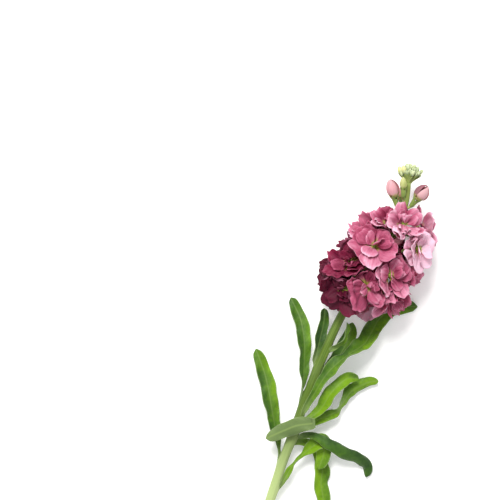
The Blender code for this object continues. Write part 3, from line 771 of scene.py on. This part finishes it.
def tip_buds(finishes):
    """The flat-topped crown of unopened buds, each on its own short stalk from the stalk's end."""
    body = Sculpt()
    base = stalk_point(STALK_END)
    along, left, up = stalk_frame(STALK_END)
    tube(body, [base + along * step for step in (-0.6, 4, 8)], (1.95, 1.9, 1.0), 20, 14, 0.4)
    draw, looks = Random(SEED_OF_CROWN), Random(SEED_OF_FILLING)
    for index in range(INNER_BUDS + OUTER_BUDS + FILLING_BUDS):
        outer = INNER_BUDS <= index < INNER_BUDS + OUTER_BUDS
        turn = radians(GOLDEN_ANGLE * index)
        out = up * cos(turn) + left * sin(turn)
        if outer:
            size, start = 1.95, 2.2
            spread = 7.4 + draw.uniform(-0.6, 0.6)
            height = 9.6 + draw.uniform(-1.6, 0.8)
        elif index > INNER_BUDS:
            size, start = looks.uniform(0.65, 1.05), looks.uniform(1.0, 4.0)
            spread = 7.4 * np.sqrt((index - INNER_BUDS - OUTER_BUDS + 0.5) / FILLING_BUDS)
            height = 12.6 - 0.085 * spread**2 + looks.uniform(-1.7, 0.6)
        else:
            size, start = 1.4, 4.5
            spread = 5.6 * np.sqrt((index + 0.4) / INNER_BUDS)
            height = 12.6 - 0.07 * spread**2 + draw.uniform(-0.5, 0.5)
        top = base + along * height + out * spread
        lean = unit(along * 1.6 + out * 0.11 * spread)
        foot = top - lean * size * 1.4
        root = base + along * start * 0.45 + out * 1.1
        elbow = root * 0.5 + foot * 0.5 - out * 0.06 * spread
        tube(body, (root, elbow, foot), (0.6, 0.5, 0.6), 8, 10, 0.3)
        side = unit(np.cross(lean, up))
        other = np.cross(lean, side)
        yellow = 1.0 if outer and dot(out, left) > 0.6 else looks.uniform(0, 0.35)
        if outer and yellow < 1:
            size = 1.3

        def place(angle, v):
            girth = size * np.interp(v, *zip(*CROWN_BUD_PROFILE))
            groove = np.abs(np.cos(2 * angle)) ** 6
            girth = girth * (1 - 0.12 * groove * np.sin(pi * v))
            middle = top + lean * ((-1.7 + 3.4 * v)[:, None] * size)
            return middle + ring(angle, side, other) * girth[:, None], rows(groove, v, index)

        body.skin(20, 14, place, yellow)
    body.make("tip_buds_crown", finishes, "tip_buds")


def leaf(index, form, finish):
    """One blade along its midrib, with a shallow keel, waved edges and its own curl."""
    draw = Random(SEED_OF_LEAVES + index)
    out = outward(form.station, form.azimuth)
    root = stalk_point(form.station) + out * (stalk_radius(form.station) + LEAF_GAP + LEAF_SOLID * 0.75)
    below = form.station - 8
    foot = stalk_point(below) + outward(below, form.azimuth) * (stalk_radius(below) - 0.1)
    way, line = measured([foot, root, *form.midrib])
    length = way[-1]
    waves = length / WAVE_LENGTH
    phase = draw.uniform(0, 2 * pi)
    depth = draw.uniform(0.9, 1.3) * form.half_width / 5
    face = out if out[2] > 0 else -out
    low = LEAF_SOLID / 2 + 0.05
    start, end = form.widens
    rounded = 1 - 2.1 * form.half_width / length

    def place(mirrored, v):
        u = -mirrored
        far = np.abs(u)
        v = v - 0.5 * form.half_width / length * far**2 * rise(v, 0.7, 0.3)
        along = heading(line, v, 0.02)
        level = face + (Z - face) * smoothstep(v / 0.35)[:, None]
        level = unit(level - along * dot(along, level)[:, None])
        turn = np.radians(through(((0, 0), *form.rolls), v))
        normal = level * np.cos(turn) + np.cross(along, level) * np.sin(turn)
        free = smoothstep(v / 0.3)
        share = 0.36 + 0.64 * rise(v, start, end - start) - 0.2 * rise(v, 0.55, 0.45)
        half = form.half_width * share * taper(v, rounded, 0.95)
        half = half * (0.06 + 0.94 * smoothstep(length * v / 11))
        uneven = np.sin(2 * pi * waves * 1.4 * v + phase + 2.1 * np.sign(u))
        half = half * (1 + 0.07 * uneven * free)
        wave = depth * np.sin(2 * pi * waves * v + phase + 1.3 * u) * free
        crinkle = 0.45 * np.sin(2 * pi * waves * 2.7 * v + 2 * phase + 2.2 * u) * far**2 * free
        bend = form.furl * rise(v, form.furl_from, 0.4) + 0.001
        most = np.sin(np.minimum(bend, pi / 2))
        spread = half * np.sin(bend * far) / most * np.sign(u)
        droop = half * (1 - np.cos(bend * far)) / most
        lift = (0.3 * half + wave) * far**1.5 + crinkle - droop * (form.furl > 0.8)
        groove = 0.3 * np.exp(-((half * u / 0.6) ** 2)) * (1 - 0.6 * v) * (form.furl < 0.8)
        across = np.cross(normal, along) * spread[:, None]
        points = through(line, v) + across + normal * (lift - groove)[:, None]
        z = points[:, 2]
        points[:, 2] = np.where(z < low + 1, low + np.exp(z - low - 1), z)
        # The furled leaf's pattern is moved off its midrib, so that its midrib and almost all side
        # veins do not show; through the painted half-shade of the leaf skin this also darkens the whole
        # leaf.
        hidden = 9 if form.furl > 1.5 else 0
        return points, rows(half * u + hidden, length * v, form.tone)

    def wall(mirrored, v):
        rib = (0.8 + np.exp(-((v / 0.08) ** 2))) * (1 - 0.7 * v)
        rib = rib * np.exp(-((form.half_width * mirrored / 0.75) ** 2))
        foot = 0.15 + 0.85 * smoothstep(length * v / 7)
        return (0.42 + rib - 0.14 * np.abs(mirrored) ** 6) * foot

    body = Sculpt()
    body.blade(18, round(length * 1.7), place, lambda u, v, points: np.abs(u), wall)
    body.make(f"leaf_{index + 1:02}_blade", [finish], f"leaf_{index + 1:02}")


def operator(operation, swapped=False):
    """A way to write one Math node as an operator or method of a Value."""
    return lambda *values: values[0].math(operation, *(values[::-1] if swapped else values))


class Value:
    """A number that varies over a surface. Sums written with it add Math nodes to its finish."""

    def __init__(self, finish, socket):
        self.finish = finish
        self.socket = socket

    def math(self, operation, *others):
        node = self.finish.node("Math", dict(enumerate(others)), operation=operation)
        return Value(self.finish, node.outputs[0])

    __add__ = __radd__ = operator("ADD")
    __mul__ = __rmul__ = operator("MULTIPLY")
    __sub__, __rsub__ = operator("SUBTRACT"), operator("SUBTRACT", swapped=True)
    __abs__, wave = operator("ABSOLUTE"), operator("SINE")

    def between(self, low, high):
        """0 below low, 1 above high, and smooth between them."""
        node = self.finish.node(
            "MapRange", {0: self, 1: low, 2: high, 3: 0.0, 4: 1.0}, interpolation_type="SMOOTHSTEP",
        )
        return Value(self.finish, node.outputs[0])


class Finish:
    """A material and the nodes that make it."""

    def __init__(self, name, **constants):
        self.material = bpy.data.materials.new(name)
        self.material.use_nodes = True
        self.tree = self.material.node_tree
        self.shader = self.tree.nodes["Principled BSDF"]
        for socket, value in constants.items():
            self.shader.inputs[socket.replace("_", " ")].default_value = value

    def node(self, kind, inputs=None, **settings):
        """One node: its settings go in first, then the values or links of its sockets."""
        node = self.tree.nodes.new("ShaderNode" + kind)
        for name, setting in settings.items():
            setattr(node, name, setting)
        for key, value in (inputs or {}).items():
            self.feed(node.inputs[key], value)
        return node

    def feed(self, socket, value):
        if isinstance(value, Value):
            self.tree.links.new(value.socket, socket)
        elif isinstance(value, bpy.types.NodeSocket):
            self.tree.links.new(value, socket)
        elif isinstance(value, tuple) and socket.type == "RGBA":
            socket.default_value = (*value, 1)
        else:
            socket.default_value = value

    def attribute(self, name):
        """A number that the piece carries at its points."""
        return Value(self, self.node("Attribute", attribute_name=name).outputs["Fac"])

    def pattern(self):
        """Where a point is in its blade's pattern, as a vector."""
        return self.node("Attribute", attribute_name="grain").outputs["Vector"]

    def grain(self):
        """The same place as three numbers."""
        parts = self.node("SeparateXYZ", {0: self.pattern()})
        return [Value(self, socket) for socket in parts.outputs]

    def noise(self, vector, scale, detail, roughness, distortion=0.0):
        node = self.node("TexNoise", {
            "Vector": vector, "Scale": scale, "Detail": detail, "Roughness": roughness,
            "Distortion": distortion,
        })
        return Value(self, node.outputs["Fac"])

    def mottle(self, scale, detail=3.0, roughness=0.5):
        """Noise over the piece itself."""
        return self.noise(self.node("TexCoord").outputs["Object"], scale, detail, roughness)

    def streaks(self, by, detail=2.0, roughness=0.5, distortion=0.0):
        """Noise over a blade's pattern, stretched along it."""
        vector = self.node("VectorMath", {0: self.pattern(), 1: by}, operation="MULTIPLY").outputs[0]
        return self.noise(vector, 1.0, detail, roughness, distortion)

    def over(self, colour, *layers):
        """A colour with others laid over it, each by its share."""
        for share, other in layers:
            colour = self.node("Mix", {0: share, 6: colour, 7: other}, data_type="RGBA").outputs[2]
        return colour

    def ramp(self, value, stops):
        """The colour that a value has between stops."""
        node = self.node("ValToRGB", {0: value})
        elements = node.color_ramp.elements
        while len(elements) < len(stops):
            elements.new(1.0)
        for element, (position, colour) in zip(elements, stops):
            element.position = position
            element.color = (*colour, 1)
        return node.outputs[0]

    def dress(self, colour, roughness, height=None, strength=0.5, distance=0.0003):
        """Sends a colour, a roughness and a relief to the shader."""
        self.feed(self.shader.inputs["Base Color"], colour)
        self.feed(self.shader.inputs["Roughness"], roughness)
        if height is not None:
            bump = self.node("Bump", {"Strength": strength, "Distance": distance, "Height": height})
            self.feed(self.shader.inputs["Normal"], bump.outputs[0])
        return self.material

    def let_light_through(self, share, colour):
        """Mixes in the light that shines through a thin blade."""
        glow = self.node("BsdfTranslucent", {"Color": colour})
        both = self.node("MixShader", {0: share, 1: self.shader.outputs[0], 2: glow.outputs[0]})
        output = self.tree.nodes["Material Output"]
        self.tree.links.new(both.outputs[0], output.inputs["Surface"])


def petal_finish(name, pale, light, middle, deep, underside, claw, glow):
    """Petal skin: veins that fan out from the claw, a paler rim, and a yellow-green base."""
    finish = Finish(name, Specular_IOR_Level=0.2)
    u, v, _ = finish.grain()
    streaks = finish.streaks((5.0, 0.9, 3.1), 3.0, 0.6)
    cloud = finish.streaks((1.2, 1.6, 5.3))
    fan = finish.streaks((11.0, 1.3, 1.7), 2.0, 0.7, 0.4)
    veins = 1 - abs(fan - 0.5).between(0.0, 0.045)
    veins = veins * v.between(0.12, 0.35) * (1 - v.between(0.8, 1.0))
    rim = v.between(0.8, 1.0) + abs(u).between(0.75, 1.0) * v.between(0.3, 0.6)
    depth = finish.attribute("tint") + 0.5 * (streaks - 0.5) + 0.6 * (cloud - 0.5) + 0.2 * veins
    depth = depth - 0.15 * rim + 0.16 * (1 - v.between(0.4, 0.85)) - 0.16 * (1 - v.between(0.2, 0.5))
    # Past a depth of 1 petals turn near-black mauve: painted shade on the shaded blooms and near the
    # stalk, and the deep crimson of a bud's petal.
    deep_and_shaded_share = depth.between(1.0, 1.9)
    colour = finish.over(
        finish.ramp(depth, ((0.0, pale), (0.35, light), (0.65, middle), (1.0, deep))),
        (0.8 * deep_and_shaded_share, DEEP_PINK_AND_PAINTED_SHADE), (0.35 * finish.attribute("side"), underside),
        (1 - (v + 0.2 * (fan - 0.5)).between(0.14, 0.34), claw),
    )
    height = 0.6 * fan + 0.5 * streaks + 0.5 * cloud
    # Less light shines through the petals' painted shade and deep crimson.
    finish.let_light_through(0.3 - 0.1 * deep_and_shaded_share, glow)
    return finish.dress(colour, 0.5 + 0.2 * streaks, height, 0.35, 0.0004)


def green_finish(name, light, dark):
    """Plain green skin with fine streaks and mottling, for calyces and small stalks."""
    finish = Finish(name, Sheen_Weight=0.2, Specular_IOR_Level=0.35)
    mottle = finish.mottle(260.0)
    streaks = finish.streaks((3.0, 0.6, 0.6))
    share = finish.attribute("tint") + 0.8 * (mottle - 0.5) + 0.5 * (streaks - 0.5)
    colour = finish.ramp(share, ((0.0, light), (1.0, dark)))
    return finish.dress(colour, 0.55 + 0.2 * (mottle - 0.5), mottle + streaks, 0.4, 0.0003)


def stalk_finish():
    """Stalk skin: long pale streaks, a waxy bloom, fine down, and a paler pith at the cut."""
    finish = Finish("stalk skin", Sheen_Weight=0.1, Specular_IOR_Level=0.22)
    _, _, station = finish.grain()
    streaks = finish.streaks((1.1, 1.1, 0.03), 4.0, 0.65)
    lines = finish.streaks((3.2, 3.2, 0.02))
    bloom_wax = finish.mottle(45.0)
    down = finish.mottle(2600.0, 2.0)
    colour = finish.ramp(streaks, (
        (0.25, (0.035, 0.08, 0.004)), (0.5, (0.07, 0.13, 0.008)), (0.75, (0.125, 0.19, 0.022)),
    ))
    colour = finish.over(
        colour, (0.45 * lines.between(0.5, 0.75), (0.18, 0.25, 0.045)),
        (0.3 * bloom_wax.between(0.45, 0.75), (0.16, 0.22, 0.065)),
        (0.9 * (1 - station.between(150.0, 232.0)), (0.43, 0.53, 0.22)),
        (0.7 * (1 - station.between(0.0, 0.3)), (0.42, 0.48, 0.22)),
        (0.7 * station.between(330.0, 380.0), (0.24, 0.29, 0.07)),
    )
    height = 0.5 * lines + 0.3 * down + streaks
    return finish.dress(colour, 0.5 + 0.15 * bloom_wax, height, 0.5, 0.0004)


def leaf_finish():
    """Leaf skin: a pale midrib, side veins, mottled green above, and a paler, bluer underside."""
    finish = Finish("leaf skin", Sheen_Weight=0.08, Specular_IOR_Level=0.22)
    across, along, tone = finish.grain()
    cloud, mottle = finish.mottle(70.0), finish.mottle(420.0, 3.0, 0.6)
    down = finish.mottle(2400.0, 2.0)
    drift = 3.2 * finish.streaks((0.1, 0.1, 1.0))
    off = abs(across)
    slanted = (along - off * 1.3) * 1.05 + drift
    side_veins = 1 - abs(slanted.wave()).between(0.0, 0.22)
    side_veins = side_veins * off.between(0.3, 1.2) * (1 - off.between(3.4, 5.2))
    midrib = 1 - off.between(0.25, 0.75)
    margin = finish.attribute("tint").between(0.86, 1.0)
    waxy = 1 - tone.between(-1.9, -1.1)
    depth = 0.5 - 0.42 * tone + 1.0 * (cloud - 0.5) + 0.55 * (mottle - 0.5) - 0.12 * side_veins
    # Painted shade: the half of the blade on one side of its midrib is darker than the other half.
    upper = finish.ramp(depth + 0.05 * across, (
        (0.0, (0.17, 0.33, 0.006)), (0.3, (0.1, 0.215, 0.008)), (0.65, (0.045, 0.115, 0.01)),
        (1.0, (0.02, 0.055, 0.01)),
    ))
    upper = finish.over(
        upper, (waxy * (0.25 + 0.9 * cloud), (0.19, 0.27, 0.09)),
        ((0.3 + 0.4 * waxy) * midrib, (0.22, 0.31, 0.09)),
        (0.6 * (1 - along.between(4.0, 22.0)), (0.26, 0.34, 0.13)),
    )
    under = finish.ramp(
        mottle + 0.4 * (cloud - 0.5), ((0.2, (0.1, 0.18, 0.06)), (0.8, (0.17, 0.26, 0.11))),
    )
    under = finish.over(under, (0.5 * midrib, (0.24, 0.32, 0.15)))
    colour = finish.over(
        upper, (finish.attribute("side"), under), (0.55 * margin, (0.27, 0.37, 0.13)),
    )
    height = 0.7 * mottle + 0.25 * down - 0.9 * side_veins - 0.5 * midrib
    finish.let_light_through(0.16, (0.22, 0.42, 0.04))
    return finish.dress(colour, 0.42 + 0.22 * mottle, height, 0.5, 0.0003)


def bud_skin_finish():
    """Skin of the small green buds: pale down, whitish seams, and some that turn yellow."""
    finish = Finish("crown bud skin", Sheen_Weight=0.35, Specular_IOR_Level=0.3)
    seam, v, _ = finish.grain()
    yellow = finish.attribute("tint")
    mottle = finish.mottle(700.0)
    colour = finish.ramp(mottle + 0.5 * (v - 0.6), (
        (0.2, (0.13, 0.19, 0.06)), (0.55, (0.3, 0.37, 0.19)), (0.85, (0.52, 0.6, 0.42)),
    ))
    colour = finish.over(
        colour, (0.75 * yellow * v.between(0.1, 0.7), (0.62, 0.58, 0.2)),
        (0.4 * seam.between(0.2, 0.9), (0.62, 0.68, 0.5)),
    )
    return finish.dress(colour, 0.6 + 0.2 * (mottle - 0.5), mottle, 0.4, 0.0002)


def floor_and_light():
    """A plain pale floor, one broad soft light from the upper left, and bright air all round."""
    work = bmesh.new()
    bmesh.ops.create_grid(work, x_segments=8, y_segments=8, size=4)
    mesh = bpy.data.meshes.new("floor")
    work.to_mesh(mesh)
    work.free()
    floor = added("floor", mesh)
    finish = Finish(
        "pale floor", Specular_IOR_Level=0.2, Emission_Color=(1, 1, 1, 1), Emission_Strength=0.12,
    )
    colour = finish.ramp(finish.mottle(30.0), ((0.3, (0.93,) * 3), (0.7, (0.95,) * 3)))
    mesh.materials.append(finish.dress(colour, 0.8))

    world = bpy.data.worlds.new("studio air")
    world.use_nodes = True
    air = world.node_tree.nodes["Background"]
    air.inputs["Color"].default_value = (1, 1, 1, 1)
    air.inputs["Strength"].default_value = AIR
    bpy.context.scene.world = world

    lamp = bpy.data.lights.new("broad soft light", "AREA")
    lamp.shape = "DISK"
    lamp.size = LAMP_SIZE
    lamp.energy = LAMP_POWER
    lamp.color = LAMP_COLOUR
    aim = (HEAD_PLACE - LAMP_PLACE).to_track_quat("-Z", "Y").to_matrix().to_4x4()
    added("broad soft light", lamp).matrix_world = Matrix.Translation(LAMP_PLACE) @ aim


def camera():
    """The photograph's view."""
    lens = bpy.data.cameras.new("camera")
    lens.lens = LENS
    lens.sensor_width = SENSOR
    lens.clip_end = 20
    stand = added("camera", lens)
    up = Vector((cos(CLIMB), sin(CLIMB), 0))
    back = Vector((0, 0, 1))
    turn = Matrix((up.cross(back), up, back)).transposed().to_4x4()
    height = FRAME_HEIGHT + FRAME_SIDE * LENS / SENSOR
    stand.matrix_world = Matrix.Translation((*FRAME_MIDDLE, height)) @ turn
    bpy.context.scene.camera = stand
    bpy.context.scene.view_settings.view_transform = "Standard"


def main():
    blooms = spiral()
    buds = [
        Flower(form.station, form.azimuth, form.out, form.tilt, form.radius + 1.2) for form in BUDS
    ]
    flowers = blooms + buds
    for place, flower in enumerate(flowers):
        flower.walls = [
            flower.wall_from(other, 1 if place < index else -1)
            for index, other in enumerate(flowers) if index != place
        ]

    petal_skin = petal_finish(
        "petal skin", (0.9, 0.64, 0.79), (0.66, 0.28, 0.41), (0.47, 0.105, 0.2), (0.17, 0.012, 0.045),
        (0.46, 0.17, 0.27), (0.42, 0.44, 0.08), (0.85, 0.16, 0.34),
    )
    heart_green = green_finish("heart green", (0.2, 0.26, 0.03), (0.06, 0.1, 0.012))
    calyx_green = green_finish("calyx green", (0.3, 0.37, 0.09), (0.11, 0.18, 0.03))
    stem(blooms, buds, [stalk_finish(), calyx_green])
    for index, flower in enumerate(blooms):
        bloom(index, flower, [petal_skin, heart_green])

    bud_skin = petal_finish(
        "bud petal skin", (0.76, 0.5, 0.52), (0.66, 0.34, 0.38), (0.52, 0.13, 0.21),
        (0.28, 0.03, 0.08), (0.6, 0.34, 0.38), (0.42, 0.44, 0.14), (0.85, 0.36, 0.4),
    )
    green_bud_skin = petal_finish(
        "green bud skin", (0.62, 0.62, 0.3), (0.46, 0.5, 0.18), (0.34, 0.39, 0.12),
        (0.2, 0.26, 0.06), (0.38, 0.42, 0.2), (0.28, 0.32, 0.1), (0.5, 0.6, 0.15),
    )
    for form, flower in zip(BUDS, buds):
        if form.opening:
            opening_bud(form, flower, [bud_skin], *OPENING_LOOKS[form.name])
        elif form.name == "green_bud":
            furled_bud(form, flower, [green_bud_skin], "bud_green")
        else:
            furled_bud(form, flower, [bud_skin], "bud_petal")
    tip_buds([bud_skin_finish(), calyx_green])

    leaf_skin = leaf_finish()
    for index, form in enumerate(LEAVES):
        leaf(index, form, leaf_skin)

    floor_and_light()
    camera()


main()
